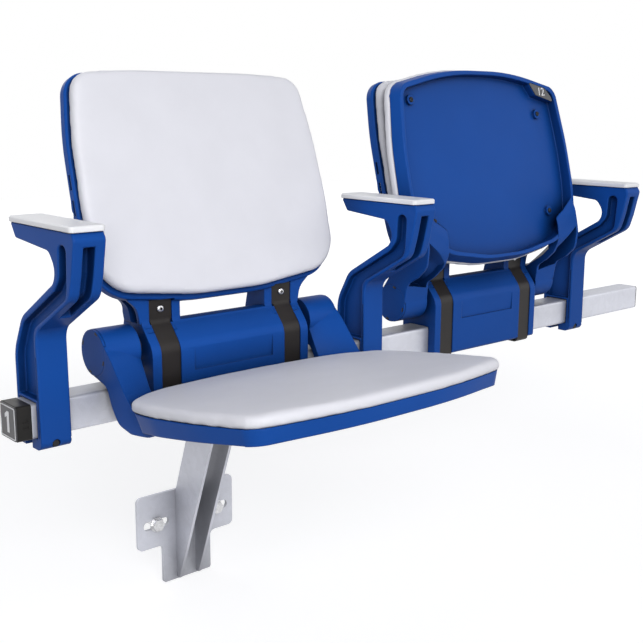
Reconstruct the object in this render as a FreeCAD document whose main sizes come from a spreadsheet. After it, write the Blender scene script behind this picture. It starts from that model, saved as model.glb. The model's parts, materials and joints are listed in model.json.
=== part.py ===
import FreeCAD, Part
import math
import os
from types import SimpleNamespace

V = FreeCAD.Vector
Rotation = FreeCAD.Rotation
Placement = FreeCAD.Placement
X_AXIS = V(1, 0, 0)
Y_AXIS = V(0, 1, 0)
Z_AXIS = V(0, 0, 1)

# Driving sizes in millimetres and degrees.
# The part's frame has its origin on the wall face of the bracket, midway between the two slots.
# Beam frame: y is measured back from the beam's front face, z up from its top face.
# Pan frame: the hinge axis is the origin, the pan reaches along -y and z is up.
SIZES = {
    # The beam and the layout along it
    "beam_side": 50.0,
    "beam_wall": 3.0,
    "beam_corner": 5.0,
    "beam_left": -329.0,
    "beam_right": 1146.0,
    "beam_front": -136.0,
    "beam_top": 289.0,
    "seat_pitch": 600.0,
    "fit_gap": 0.3,
    # The hinge of a seat pan, in the beam frame
    "hinge_back": 27.0,
    "hinge_up": 50.0,
    "open_tilt": 8.5,
    "folded_lean": 13.0,
    "axle_radius": 12.5,
    "axle_half": 213.0,
    "running_gap": 0.05,
    "bush_radius": 15.0,
    "hub_radius": 34.5,
    "hub_inner": 160.0,
    "hub_outer": 215.0,
    "arm_outer": 219.0,
    # The seat pan: heights are depths below the hinge
    "pan_bottom": 97.0,
    "pan_rear_bottom": 104.0,
    "pan_top": 76.0,
    "pan_draft": 6.0,
    "pan_skin": 4.0,
    "pan_rim": 12.0,
    "pan_cushion": 18.5,
    # The back: recline, and the place of its cushion's lower edge in the beam frame
    "recline": 17.0,
    "back_foot_back": -15.2,
    "back_foot_up": 130.0,
    "back_cushion": 20.0,
    "crown": 2.6,
    "shell_depth": 16.0,
    "shell_skin": 4.0,
    # The housing that saddles the beam
    "housing_half": 147.0,
    "housing_front": -17.0,
    "housing_rear": 65.0,
    "housing_bottom": -55.0,
    "leg_front": 12.0,
    "leg_half": 205.0,
    "window_half": 80.0,
    # The clamp straps
    "strap_inner": 98.3,
    "strap_width": 33.0,
    "strap_thick": 3.0,
    "tab_inner": 95.0,
    "tab_width": 38.0,
    "tab_low": 85.0,
    "tab_high": 118.0,
    "screw_across": 114.0,
    "screw_up": 104.0,
    # The armrests
    "armrest_width": 45.0,
    "armrest_web": 20.0,
    "armrest_top": 244.0,
    "armrest_pad_width": 50.0,
    "armrest_pad_thick": 8.0,
    "armrest_slot_width": 16.0,
    # The wall bracket
    "plate_thick": 6.0,
    "slot_spacing": 120.0,
    "slot_length": 49.0,
    "slot_width": 15.0,
    "ear_half": 96.0,
    "ear_top": 52.0,
    "ear_bottom": -41.0,
    "stem_half": 48.0,
    "stem_bottom": -110.0,
    "web_gap": 34.0,
    "web_thick": 5.0,
    # The end marker
    "marker_length": 21.0,
    "marker_plate": 2.0,
    # The fixings
    "wall_bolt_radius": 6.0,
    "wall_bolt_head": 11.0,
    "wall_stud_length": 30.0,
}

os.makedirs("parts", exist_ok=True)
doc = FreeCAD.newDocument("stadium_seat")
sheet = doc.addObject("Spreadsheet::Sheet", "Sizes")
for row, (alias, value) in enumerate(SIZES.items(), start=1):
    sheet.set(f"A{row}", alias)
    sheet.set(f"B{row}", str(value))
    sheet.setAlias(f"B{row}", alias)
doc.recompute()
size = SimpleNamespace(**{alias: float(sheet.get(alias)) for alias in SIZES})

SIDES = {"left": -1, "right": 1}
SEATS = {"left": 0.0, "right": size.seat_pitch}
ARMRESTS = {"left": -0.5, "middle": 0.5, "right": 1.5}
nodes = []


def name_of(text):
    """A Sizes alias as an expression; a number or an expression is kept as it is."""
    return f"Sizes.{text}" if text in SIZES else str(text)


def rounded(corners):
    """Closed outline through (x, y, radius) corners, straight between the rounded corners."""
    starts, ends, pieces = [], [], []
    count = len(corners)
    for index, (x, y, radius) in enumerate(corners):
        here = V(x, y, 0)
        back = (V(*corners[index - 1][:2], 0) - here).normalize()
        ahead = (V(*corners[(index + 1) % count][:2], 0) - here).normalize()
        half = back.getAngle(ahead) / 2
        if radius <= 0:
            starts.append(here)
            ends.append(here)
            continue
        reach = radius / math.tan(half)
        first = here + back * reach
        last = here + ahead * reach
        inward = (back + ahead).normalize()
        middle = here + inward * (radius / math.sin(half) - radius)
        pieces.append(Part.Arc(first, middle, last))
        starts.append(first)
        ends.append(last)
    for index in range(count):
        first, last = ends[index], starts[(index + 1) % count]
        if first.distanceToPoint(last) > 1e-6:
            pieces.append(Part.LineSegment(first, last))
    return pieces


def box_outline(x0, x1, y0, y1, radius=0.0):
    return rounded([(x0, y0, radius), (x1, y0, radius), (x1, y1, radius), (x0, y1, radius)])


def ring(x, y, radius):
    return [Part.Circle(V(x, y, 0), Z_AXIS, radius)]


def twice(corners):
    """The outline and its mirror image on the other side of the seat's middle."""
    return rounded(corners) + rounded([(-x, y, radius) for x, y, radius in corners])


def twin_rings(x, y, radius):
    return ring(x, y, radius) + ring(-x, y, radius)


def both_sides(half):
    """Corners of the right half from top centre to bottom centre, completed by their mirror image."""
    return half + [(-x, y, radius) for x, y, radius in reversed(half)]


def band(path, thick):
    """Outline of a strip of even thickness along a path of (x, y, radius) points."""
    points = [V(x, y, 0) for x, y, _ in path]
    left, right = [], []
    for index, point in enumerate(points):
        before = point - points[index - 1] if index else points[1] - point
        after = points[index + 1] - point if index + 1 < len(points) else before
        normal_before = V(-before.y, before.x, 0).normalize()
        normal_after = V(-after.y, after.x, 0).normalize()
        miter = (normal_before + normal_after).normalize()
        reach = thick / 2 / miter.dot(normal_before)
        turn = normal_before.cross(normal_after).z
        radius = path[index][2]
        swing = math.copysign(thick / 2, turn) if radius else 0
        left.append((point.x + miter.x * reach, point.y + miter.y * reach, radius - swing if radius else 0))
        right.append((point.x - miter.x * reach, point.y - miter.y * reach, radius + swing if radius else 0))
    return rounded(left + right[::-1])


def new_body(label):
    owner = doc.addObject("PartDesign::Body", label)
    owner.Label = label
    return owner


def sketch_on(owner, plane, outline, offset):
    """Sketch on one of the body's origin planes, moved along the plane's normal."""
    drawn = owner.newObject("Sketcher::SketchObject", owner.Name + "_sketch")
    support = next(item for item in owner.Origin.OriginFeatures if item.Role == plane)
    drawn.AttachmentSupport = (support, [""])
    drawn.MapMode = "FlatFace"
    drawn.setExpression("AttachmentOffset.Base.z", offset)
    drawn.addGeometry(outline, False)
    return drawn


def extrude(owner, kind, plane, outline, low, high):
    """Pad or pocket between two places on the axis that crosses the plane."""
    low, high = name_of(low), name_of(high)
    if plane == "XZ_Plane":
        drawn = sketch_on(owner, plane, outline, f"-({low})")
    elif kind == "Pad":
        drawn = sketch_on(owner, plane, outline, low)
    else:
        drawn = sketch_on(owner, plane, outline, high)
    made = owner.newObject("PartDesign::" + kind, owner.Name + "_" + kind.lower())
    made.Profile = drawn
    made.Refine = False
    made.Reversed = plane == "XZ_Plane" and kind == "Pad"
    made.setExpression("Length", f"({high}) - ({low})")
    return made


def pad(owner, plane, outline, low, high):
    return extrude(owner, "Pad", plane, outline, low, high)


def pocket(owner, plane, outline, low, high):
    return extrude(owner, "Pocket", plane, outline, low, high)


def loft(owner, kind, plane, outlines):
    """Straight-sided loft through outlines drawn on planes at the given places."""
    drawn = [sketch_on(owner, plane, outline, str(place)) for place, outline in outlines]
    made = owner.newObject("PartDesign::" + kind, owner.Name + "_loft")
    made.Profile = drawn[0]
    made.Sections = drawn[1:]
    made.Ruled = True
    made.Refine = False
    return made


def keep(piece, label, placement=None):
    piece.Label = label
    if placement is not None:
        piece.Placement = placement
    nodes.append(piece)
    return piece


def fuse(label, pieces):
    joined = doc.addObject("Part::MultiFuse", label)
    joined.Shapes = pieces
    joined.Refine = True
    return joined


def group(label, master, places):
    """One node with a copy of the master at each place, every copy a solid of its own."""
    copies = []
    for place in places:
        copy = doc.addObject("App::Link", label + "_copy")
        copy.LinkedObject = master
        copy.Placement = place
        copies.append(copy)
    made = doc.addObject("Part::Compound", label)
    made.Links = copies
    return keep(made, label)


def at(x, y, z, turn=None):
    return Placement(V(x, y, z), turn or Rotation())


def beam_frame(x):
    return at(x, size.beam_front, size.beam_top)


def hinge_frame(x, angle):
    place = V(x, size.beam_front + size.hinge_back, size.beam_top + size.hinge_up)
    return Placement(place, Rotation(X_AXIS, -angle))


def back_frame(x):
    place = V(x, size.beam_front + size.back_foot_back, size.beam_top + size.back_foot_up)
    return Placement(place, Rotation(X_AXIS, -size.recline))


# Fasteners, drawn with the head at the origin and the shank along -z
def screw(label, head_radius, head_height, shank_radius, shank_length):
    """Pan-head screw."""
    owner = new_body(label)
    pad(owner, "XY_Plane", ring(0, 0, shank_radius), -shank_length, 0)
    pad(owner, "XY_Plane", ring(0, 0, head_radius), 0, head_height)
    return owner


def hex_bolt(label, across_radius, head_height, shank_radius, shank_length):
    owner = new_body(label)
    pad(owner, "XY_Plane", ring(0, 0, shank_radius), -shank_length, 0)
    pad(owner, "XY_Plane", polygon(6, across_radius), 0, head_height)
    return owner


def polygon(count, radius):
    turn = 2 * math.pi / count
    return rounded([(radius * math.cos(n * turn), radius * math.sin(n * turn), 0) for n in range(count)])


def washer(label, radius, bore, thick):
    owner = new_body(label)
    pad(owner, "XY_Plane", ring(0, 0, radius) + ring(0, 0, bore), 0, thick)
    return owner


FACING_FRONT = Rotation(X_AXIS, 90)
FACING_REAR = Rotation(X_AXIS, -90)
FACING_DOWN = Rotation(X_AXIS, 180)

# The beam
side = size.beam_side
beam = new_body("beam_tube")
tube = box_outline(0, side, -side, 0, size.beam_corner)
wall = size.beam_wall
tube += box_outline(wall, side - wall, wall - side, -wall, size.beam_corner - wall)
pad(beam, "YZ_Plane", tube, "beam_left", "beam_right")
saddle_bolt_across = 33.0
saddle_holes = ring(-saddle_bolt_across, side / 2, 4.3) + ring(saddle_bolt_across, side / 2, 4.3)
pocket(beam, "XY_Plane", saddle_holes, "-beam_side - 1".replace("beam_side", "Sizes.beam_side"),
       "Sizes.beam_wall - Sizes.beam_side + 1")
keep(beam, "beam_tube", beam_frame(0))

# The plug in the beam's open end
plug = new_body("beam_end_plug")
pad(plug, "YZ_Plane", box_outline(0.4, side - 0.4, 0.4 - side, -0.4, 4.5), 0, 3)
inset = wall + size.fit_gap
pad(plug, "YZ_Plane", box_outline(inset, side - inset, inset - side, -inset, 2), -18, 0)
pocket(plug, "YZ_Plane", box_outline(inset + 3, side - inset - 3, inset + 3 - side, -inset - 3), -19, -2)
keep(plug, "beam_end_plug", beam_frame(size.beam_right))

# The marker on the other end: block, plate and raised figure
block = new_body("marker_block")
pad(block, "YZ_Plane", box_outline(0, side, -side, 0, 4), "-Sizes.marker_length", 0)
pad(block, "YZ_Plane", box_outline(inset, side - inset, inset - side, -inset, 2), 0, 18)
pocket(block, "YZ_Plane", box_outline(inset + 3, side - inset - 3, inset + 3 - side, -inset - 3), 2, 19)
for low in (-32, -24):
    pocket(block, "XZ_Plane", box_outline(-13, -5, low, low + 4), 0, 1.2)
keep(block, "marker_block", beam_frame(size.beam_left))

plate = new_body("marker_plate")
pad(plate, "YZ_Plane", box_outline(0.8, side - 0.8, 0.8 - side, -0.8, 4), "-Sizes.marker_plate", 0)
keep(plate, "marker_plate", beam_frame(size.beam_left - size.marker_length))

figure = new_body("marker_border")
frame_line = box_outline(2.2, side - 2.2, 2.2 - side, -2.2, 3) + box_outline(4, side - 4, 4 - side, -4, 2)
pad(figure, "YZ_Plane", frame_line, -0.5, 0)
stroke = 6.0
digit_one = [(29, -40, 0), (29, -10, 0), (23.5, -10, 0), (17, -15, 0), (17, -20.5, 0), (23, -17, 0),
             (23, -40, 0)]
digit = new_body("marker_digit")
pad(digit, "YZ_Plane", rounded([(side - y, z, r) for y, z, r in digit_one]), -0.5, 0)
label_group = doc.addObject("Part::Compound", "marker_figure")
label_group.Links = [figure, digit]
keep(label_group, "marker_figure", beam_frame(size.beam_left - size.marker_length - size.marker_plate))


# The armrests, in the beam frame
ARMREST_OUTLINE = [
    (49, 244, 3), (-125, 244, 0), (-131, 235, 8), (-121, 188, 60), (-112, 158, 26), (-12, 101, 26), (-12, -66, 12),
    (16, -66, 0), (16, -58, 0), (36, -58, 0), (36, -66, 0), (58, -66, 10), (58, 66, 60), (29.5, 117, 40),
    (-66, 173, 14), (-79, 190, 22), (-60, 215, 16), (35, 223, 6),
]
ARMREST_RECESS = [
    (-88, 226, 9), (-108, 226, 9), (-104, 160, 20), (-4, 104, 22), (-4, 5, 0), (51, 5, 0),
    (51, 64, 50), (26, 109, 35), (-70, 164, 12), (-86, 182, 26),
]
ARMREST_SLOT = [
    (-140, 225, 0), (-108, 225, 0), (-104, 190, 20), (-95, 162, 20), (-52, 139, 0), (-60, 100, 0),
    (-140, 100, 0),
]
clamp_drop = -58.0


def armrest(name, x):
    half = size.armrest_width / 2
    web = size.armrest_web / 2
    owner = new_body("armrest_body_" + name)
    pad(owner, "YZ_Plane", rounded(ARMREST_OUTLINE), "-Sizes.armrest_width / 2", "Sizes.armrest_width / 2")
    pocket(owner, "YZ_Plane", rounded(ARMREST_RECESS), web, half + 1)
    pocket(owner, "YZ_Plane", rounded(ARMREST_RECESS), -half - 1, -web)
    pocket(owner, "YZ_Plane", rounded(ARMREST_SLOT), "-Sizes.armrest_slot_width / 2",
           "Sizes.armrest_slot_width / 2")
    gap = size.fit_gap
    pocket(owner, "YZ_Plane", box_outline(-gap, side + gap, -side - gap, gap), -half - 1, half + 1)
    pocket(owner, "YZ_Plane", box_outline(16, 36, -70, -side), -half - 1, half + 1)
    pocket(owner, "XZ_Plane", ring(0, clamp_drop, 3.4), -20, 70)
    pocket(owner, "XZ_Plane", ring(0, clamp_drop, 6), -20, -6)
    pocket(owner, "XZ_Plane", polygon_at(0, clamp_drop, 6, 6.2), 53, 70)
    pocket(owner, "YZ_Plane", box_outline(-8.6, -7.2, -48, 66), half - 1.5, half + 1)
    pocket(owner, "YZ_Plane", box_outline(-8.6, -7.2, -48, 66), -half - 1, 1.5 - half)
    keep(owner, "armrest_body_" + name, beam_frame(x))

    rest = new_body("armrest_pad_" + name)
    across = size.armrest_pad_width / 2
    high = size.armrest_top + size.armrest_pad_thick
    loft(rest, "AdditiveLoft", "XY_Plane", [
        (size.armrest_top, box_outline(-across, across, -128, 50, 6)),
        (high - 2, box_outline(-across, across, -128, 50, 6)),
        (high, box_outline(2 - across, across - 2, -126, 48, 4)),
    ])
    keep(rest, "armrest_pad_" + name, beam_frame(x))


def polygon_at(x, y, count, radius):
    turn = 2 * math.pi / count
    return rounded([(x + radius * math.cos(n * turn), y + radius * math.sin(n * turn), 0)
                    for n in range(count)])


for name, steps in ARMRESTS.items():
    armrest(name, steps * size.seat_pitch)

armrest_places = [beam_frame(steps * size.seat_pitch) for steps in ARMRESTS.values()]
clamp_bolt = hex_bolt("clamp_bolt_master", 5.2, 4.0, 3.0, 62.0)
clamp_nut = new_body("clamp_nut_master")
pad(clamp_nut, "XY_Plane", polygon(6, 5.8) + ring(0, 0, 3.05), 0, 4)
front_seat = at(0, -6.1, clamp_drop, FACING_FRONT)
rear_seat = at(0, 53.1, clamp_drop, FACING_REAR)
group("armrest_clamp_bolts", clamp_bolt, [place.multiply(front_seat) for place in armrest_places])
group("armrest_clamp_nuts", clamp_nut, [place.multiply(rear_seat) for place in armrest_places])

# Outlines of a seat, as right halves: the back in its own plane, the pan as (x, reach from the hinge)
BACK_HALF = [
    (105, 334, 500), (203, 328, 34), (218, 232, 500), (222, 130, 350), (216.5, 16, 62), (60, -3, 300),
]
PAN_HALF = [
    (95, 407.5, 600), (224, 378, 34), (238, 272, 500), (239, 170, 200), (229, 108, 55), (165, 65, 120),
    (60, 48, 300),
]


def grown(half, step, drop=0.0):
    """The half outline moved out by a step, its rounding opened by as much; the low end may drop more."""
    made = []
    for x, y, radius in half:
        middle = half[0][1] / 2
        rise = step if y > middle else -step - drop
        made.append((x + step, y + rise, radius + step))
    return made


def back_outline(step, drop=0.0):
    return rounded(both_sides(grown(BACK_HALF, step, drop)))


def pan_outline(step):
    corners = both_sides(grown(PAN_HALF, step))
    return rounded([(x, -reach, radius) for x, reach, radius in corners])


def cushion(label, half, thick, crown, edge, flip):
    """Padded slab: its upper edge cut back, its sides drawn in below and its top crowned both ways."""
    owner = new_body(label + "_slab")
    corners = [(x, flip * y, radius) for x, y, radius in both_sides(half)]
    made = pad(owner, "XY_Plane", rounded(corners), 0, thick)
    for height, reach in ((thick, edge), (0, 2)):
        doc.recompute()
        names = [f"Edge{n}" for n, rim in enumerate(made.Shape.Edges, 1)
                 if all(abs(v.Z - height) < 0.01 for v in rim.Vertexes)]
        bevel = owner.newObject("PartDesign::Chamfer", owner.Name + "_bevel")
        bevel.Base = (made, names)
        bevel.Size = reach
        made = bevel
    domes = []
    middle = flip * (half[0][1] + half[-1][1]) / 2
    spans = ((X_AXIS, (half[0][1] - half[-1][1]) / 2), (Y_AXIS, max(x for x, _, _ in half)))
    for axis, reach in spans:
        radius = reach ** 2 / (2 * crown)
        dome = doc.addObject("Part::Cylinder", label + "_dome")
        dome.Radius = radius
        dome.Height = 600
        turn = Rotation(Z_AXIS, axis)
        dome.Placement = Placement(V(0, middle, thick - radius) - axis * 300, turn)
        domes.append(dome)
    soft = doc.addObject("Part::MultiCommon", label)
    soft.Shapes = [owner, *domes]
    return soft


# The back moulding of a seat: reclined shell, necks and the housing over the beam
def back_moulding(name, x):
    shell = new_body(name + "_back_shell")
    front = size.back_cushion
    rear = front + size.shell_depth
    loft(shell, "AdditiveLoft", "XZ_Plane", [
        (-front, back_outline(1.5, 4)), (-front - 3, back_outline(4, 4)), (-rear, back_outline(4, 4)),
    ])
    pocket(shell, "XZ_Plane", back_outline(-1, 4), "Sizes.back_cushion + Sizes.shell_skin", rear + 1)
    uprights = [box_outline(across - 1.5, across + 1.5, -4, 335) for across in (-100, 0, 100)]
    pad(shell, "XZ_Plane", sum(uprights, []), front + 3.5, rear - 4)
    levels = [box_outline(-220, 220, up - 1.5, up + 1.5) for up in (90, 200)]
    pad(shell, "XZ_Plane", sum(levels, []), front + 3.5, rear - 6)
    slots = [box_outline(front + 6, front + 11, level, level + 22) for level in (128, 165)]
    pocket(shell, "YZ_Plane", sum(slots, []), 205, 240)
    pocket(shell, "YZ_Plane", sum(slots, []), -240, -205)
    shell.Placement = Placement(V(0, size.back_foot_back, size.back_foot_up), Rotation(X_AXIS, -size.recline))

    saddle = new_body(name + "_saddle")
    half = size.housing_half
    low, near, far = size.housing_bottom, size.housing_front, size.housing_rear
    leg = size.leg_front
    body_side = [(near, low, 6), (near, 50, 30), (leg, 84, 16), (leg, 100, 0), (58, 100, 0), (far, 70, 24),
                 (far, -42, 0), (side + 0.5, -42, 0), (side + 0.5, low, 0)]
    pad(saddle, "YZ_Plane", rounded(body_side), "-Sizes.housing_half", "Sizes.housing_half")
    leg_side = [(leg, 84, 0), (leg, 140, 0), (20, 158, 0), (30, 162, 0), (44, 124, 30), (58, 98, 10), (58, 84, 0)]
    pad(saddle, "YZ_Plane", rounded(leg_side), "-Sizes.leg_half", "Sizes.leg_half")
    outside = [(half, 60, 0), (half + 2, 84, 40), (153, 108, 30), (184, 135, 50), (214, 158, 0), (240, 158, 0),
               (240, 60, 0)]
    pocket(saddle, "XZ_Plane", twice(outside), -60, 80)
    window = [(-60, 83, 0), (9, 83, 0), (20, 87, 10), (90, 57, 0), (90, 131, 0), (leg, 111, 0), (-60, 111, 0)]
    pocket(saddle, "YZ_Plane", rounded(window), "-Sizes.window_half", "Sizes.window_half")
    channel = [(134, 84, 0), (132, 106, 30), (164, 136, 50), (184, 160, 0), (240, 160, 0), (240, 84, 0)]
    pocket(saddle, "XZ_Plane", twice(channel), leg + 7, 38)
    hollow = [(86, 94, 0), (130, 94, 0), (130, 150, 0), (86, 150, 0)]
    pocket(saddle, "XZ_Plane", twice(hollow), leg + 8, 80)
    bay = [(near + 4, low - 10, 0), (near + 4, 46, 26), (leg + 4, 79, 0), (far - 5, 61, 0), (far - 5, low - 10, 0)]
    pocket(saddle, "YZ_Plane", rounded(bay), -86, 86)
    side_bay = [(2, low - 10, 0), (2, 78, 0), (far - 5, 78, 0), (far - 5, low - 10, 0)]
    for sign in SIDES.values():
        ends = sorted((sign * 93, sign * 142))
        pocket(saddle, "YZ_Plane", rounded(side_bay), ends[0], ends[1])
    rib = [(near + 3, -46, 0), (near + 3, 46, 26), (leg + 4, 80, 0), (far - 4, 62, 0), (far - 4, -40, 0),
           (side - 2, -40, 0), (side - 2, -46, 0)]
    for across in (-46, 42):
        pad(saddle, "YZ_Plane", rounded(rib), across, across + 4)
    rib_side = [(0, -46, 0), (0, 79, 0), (far - 4, 79, 0), (far - 4, -40, 0)]
    for across in (-117, 113):
        pad(saddle, "YZ_Plane", rounded(rib_side), across, across + 4)
    gap = size.fit_gap
    beam_slot = box_outline(-gap, side + gap, low - 20, gap)
    pocket(saddle, "YZ_Plane", beam_slot, -half - 60, half + 60)
    pocket(saddle, "YZ_Plane", ring(size.hinge_back, size.hinge_up, size.axle_radius + size.running_gap),
           -half - 60, half + 60)
    pin_ring = ring(size.hinge_back, size.hinge_up - 27, 4.05)
    pocket(saddle, "YZ_Plane", pin_ring, -half - 1, half + 1)
    # Channels for the straps and seats for their tabs
    floor_low = near + 1.5 + size.strap_thick + 0.1
    floor_high = leg + 1 + size.strap_thick + 0.1
    behind = size.strap_thick / 2 + 0.1
    drop = behind * math.tan(math.atan2(floor_high - floor_low, 34) / 2)
    run = [(floor_high, 125, 0), (floor_high, 84 - drop, 14.5 + behind), (floor_low, 50 - drop, 25.5 - behind),
           (floor_low, -80, 0), (-60, -80, 0), (-60, 125, 0)]
    for sign in SIDES.values():
        inner = sign * (size.strap_inner - 0.4)
        outer = sign * (size.strap_inner + size.strap_width + 0.4)
        pocket(saddle, "YZ_Plane", rounded(run), min(inner, outer), max(inner, outer))
    near_edge = size.tab_inner - 0.6
    far_edge = size.tab_inner + size.tab_width + 0.6
    low_edge = size.tab_low - 3
    high_edge = size.tab_high + 0.8
    seat = [(near_edge, low_edge, 0), (far_edge, low_edge, 0), (far_edge, high_edge, 0), (near_edge, high_edge, 0)]
    tab_seats = new_body(name + "_tab_seats")
    pad(tab_seats, "XZ_Plane", twice(seat), -10, floor_high)
    pocket(saddle, "XZ_Plane", twin_rings(size.screw_across, size.screw_up, 2.6), 0, leg + 8.5)
    # The shallow scoop on the housing's face, deepest along its curved lower crease
    scoop = [(near - 5, 10, 0), (near + 2.2, 10, 0), (near - 0.4, 58, 0), (near - 5, 58, 0)]
    pocket(saddle, "YZ_Plane", rounded(scoop), -74, 74)

    joined = fuse(name + "_back_joined", [shell, saddle])
    moulding = doc.addObject("Part::Cut", name + "_back_moulding")
    moulding.Base = joined
    moulding.Tool = tab_seats
    keep(moulding, name + "_back_moulding", beam_frame(x))


def back_cushion(name, x):
    soft = cushion(name + "_back_cushion", BACK_HALF, size.back_cushion + 1.5, size.crown, 7, 1)
    lifted = back_frame(x).multiply(at(0, size.back_cushion - 0.1, 0, FACING_FRONT))
    keep(soft, name + "_back_cushion", lifted)


def straps(name, x):
    """Two steel straps: screwed tab, run down the front, under the beam and up the rear."""
    thick = size.strap_thick
    front = size.housing_front + 1.5 + thick / 2
    tab = size.leg_front + 1 + thick / 2
    rear = size.housing_rear + thick / 2 + 0.2
    under = size.housing_bottom - 5.8
    path = [(tab, size.tab_high - 6, 0), (tab, 84, 14.5), (front, 50, 25.5), (front, under, 7), (rear, under, 7),
            (rear, 44, 0)]
    pieces = []
    for sign in SIDES.values():
        owner = new_body(f"{name}_strap_{'left' if sign < 0 else 'right'}")
        inner = sign * size.strap_inner
        outer = sign * (size.strap_inner + size.strap_width)
        pad(owner, "YZ_Plane", band(path, thick), min(inner, outer), max(inner, outer))
        a, b = sign * size.tab_inner, sign * (size.tab_inner + size.tab_width)
        tab_outline = box_outline(min(a, b), max(a, b), size.tab_low, size.tab_high, 2)
        pad(owner, "XZ_Plane", tab_outline, tab - thick / 2, tab + thick / 2)
        hole = ring(sign * size.screw_across, size.screw_up, 3.0)
        pocket(owner, "XZ_Plane", hole, tab - 5, tab + 5)
        pieces.append(owner)
    pair = doc.addObject("Part::Compound", name + "_clamp_straps")
    pair.Links = pieces
    keep(pair, name + "_clamp_straps", beam_frame(x))

    pads = []
    for sign in SIDES.values():
        owner = new_body(f"{name}_strap_pad_{'left' if sign < 0 else 'right'}")
        inner = sign * (size.strap_inner + 1)
        outer = sign * (size.strap_inner + size.strap_width - 1)
        low = under + thick / 2 + 0.1
        pad(owner, "YZ_Plane", box_outline(1, 49, low, -side - 0.1), min(inner, outer), max(inner, outer))
        pads.append(owner)
    pair = doc.addObject("Part::Compound", name + "_strap_pads")
    pair.Links = pads
    keep(pair, name + "_strap_pads", beam_frame(x))

    places = []
    for sign in SIDES.values():
        places.append(at(sign * size.screw_across, tab - thick / 2 - 0.1, size.screw_up, FACING_FRONT))
    group(name + "_strap_screws", strap_screw, [beam_frame(x).multiply(place) for place in places])


# The moving pan, in the pan frame: depths below the hinge are negative heights
ARM_OUTER = [
    (-14, -26, 0), (20, -25, 12), (46, 4, 60), (80, 56, 20), (98, 77, 0), (175, 77, 0), (200, 94, 0),
    (128, 112, 60), (84, 110.5, 26), (52, 100, 26), (38, 76, 20), (30, 48, 20), (-14, 30, 0),
]
ARM_INNER = [
    (-14, -26, 0), (14, -28, 12), (26, 6, 60), (46, 58, 16), (58, 77, 0), (140, 77, 0), (150, 94, 0),
    (104, 109, 60), (70, 103, 26), (50, 88, 20), (36, 64, 16), (28, 44, 14), (-14, 30, 0),
]
CHANNEL_OUTER = [(42, 8, 0), (50, 18, 0), (78, 62, 0), (90, 77, 0), (97, 125, 0), (40, 125, 0), (24, 50, 0)]
CHANNEL_INNER = [(26, 14, 0), (30, 26, 0), (45, 62, 0), (55, 77, 0), (63, 125, 0), (20, 125, 0), (16, 50, 0)]
BOSSES = ((-184, 350), (169, 325), (167, 133), (-167, 133))
NUMBER_SEAT = [(140, 385, 2), (189, 374, 10), (206, 357, 10), (210, 347, 2), (158, 360, 2)]


def pan_side(corners):
    return rounded([(-reach, -depth, radius) for reach, depth, radius in corners])


def pan_moulding(name, placement):
    owner = new_body(name + "_pan_moulding")
    low, high = "-Sizes.pan_rear_bottom", "-Sizes.pan_top"
    loft(owner, "AdditiveLoft", "XY_Plane", [
        (-size.pan_top, pan_outline(0)), (-size.pan_rear_bottom, pan_outline(-size.pan_draft)),
    ])
    # The underside rises towards the front edge
    sloped = [(-100, -size.pan_rear_bottom), (-410, -size.pan_bottom), (-430, -size.pan_bottom), (-430, -120),
              (-100, -120)]
    pocket(owner, "YZ_Plane", rounded([(y, z, 0) for y, z in sloped]), -260, 260)
    for sign in SIDES.values():
        near, far = sign * size.hub_inner, sign * size.arm_outer
        loft(owner, "AdditiveLoft", "YZ_Plane", [(near, pan_side(ARM_INNER)), (far, pan_side(ARM_OUTER))])
        near, far = sign * (size.hub_inner + 5), sign * (size.arm_outer - 5)
        loft(owner, "SubtractiveLoft", "YZ_Plane", [(near, pan_side(CHANNEL_INNER)), (far, pan_side(CHANNEL_OUTER))])
        near, far = sorted((sign * size.hub_inner, sign * size.hub_outer))
        pad(owner, "YZ_Plane", ring(0, 0, size.hub_radius), near, far)
        near, far = sorted((sign * size.hub_outer, sign * (size.arm_outer + 1)))
        pocket(owner, "YZ_Plane", ring(0, 0, size.hub_radius - 0.4), near, far)
    pocket(owner, "XY_Plane", pan_outline(-size.pan_rim), f"{low} - 1", f"{high} - Sizes.pan_skin")
    pocket(owner, "YZ_Plane", ring(0, 0, size.bush_radius + size.running_gap), -250, 250)
    rims, holes = [], []
    for across, reach in BOSSES:
        rims += ring(across, -reach, 9)
        holes += ring(across, -reach, 2.3)
    pad(owner, "XY_Plane", rims, -size.pan_top - 10, f"{high} - 1")
    pocket(owner, "XY_Plane", holes, -size.pan_top - 15, f"{high} + 1")
    seat = rounded([(across, -reach, radius) for across, reach, radius in NUMBER_SEAT])
    pad(owner, "XY_Plane", seat, -size.pan_bottom + 1.4, f"{high} - 1")
    recess = rounded([(across, -reach, radius) for across, reach, radius in NUMBER_SEAT])
    pocket(owner, "XY_Plane", recess, -size.pan_rear_bottom - 1, -size.pan_bottom + 1.4)
    # The arc slots that the stop pins ride in, from the open stop to the folded one
    swing = 90 + size.folded_lean - size.open_tilt
    for sign in SIDES.values():
        near, far = sorted((sign * (size.hub_inner - 1), sign * (size.hub_inner + 8)))
        pocket(owner, "YZ_Plane", arc_slot(27, 4.3, size.open_tilt - 90, size.open_tilt - 90 + swing), near, far)
    keep(owner, name + "_pan_moulding", placement)


def arc_slot(radius, half, start, end):
    """Slot of round-ended arc form about the origin, angles in degrees from +y towards +z."""
    def spot(distance, angle):
        return V(distance * math.cos(math.radians(angle)), distance * math.sin(math.radians(angle)), 0)

    middle = (start + end) / 2
    inner, outer = radius - half, radius + half
    bulge = math.degrees(half / radius)
    return [
        Part.Arc(spot(outer, start), spot(outer, middle), spot(outer, end)),
        Part.Arc(spot(outer, end), spot(radius, end + bulge), spot(inner, end)),
        Part.Arc(spot(inner, end), spot(inner, middle), spot(inner, start)),
        Part.Arc(spot(inner, start), spot(radius, start - bulge), spot(outer, start)),
    ]


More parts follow.
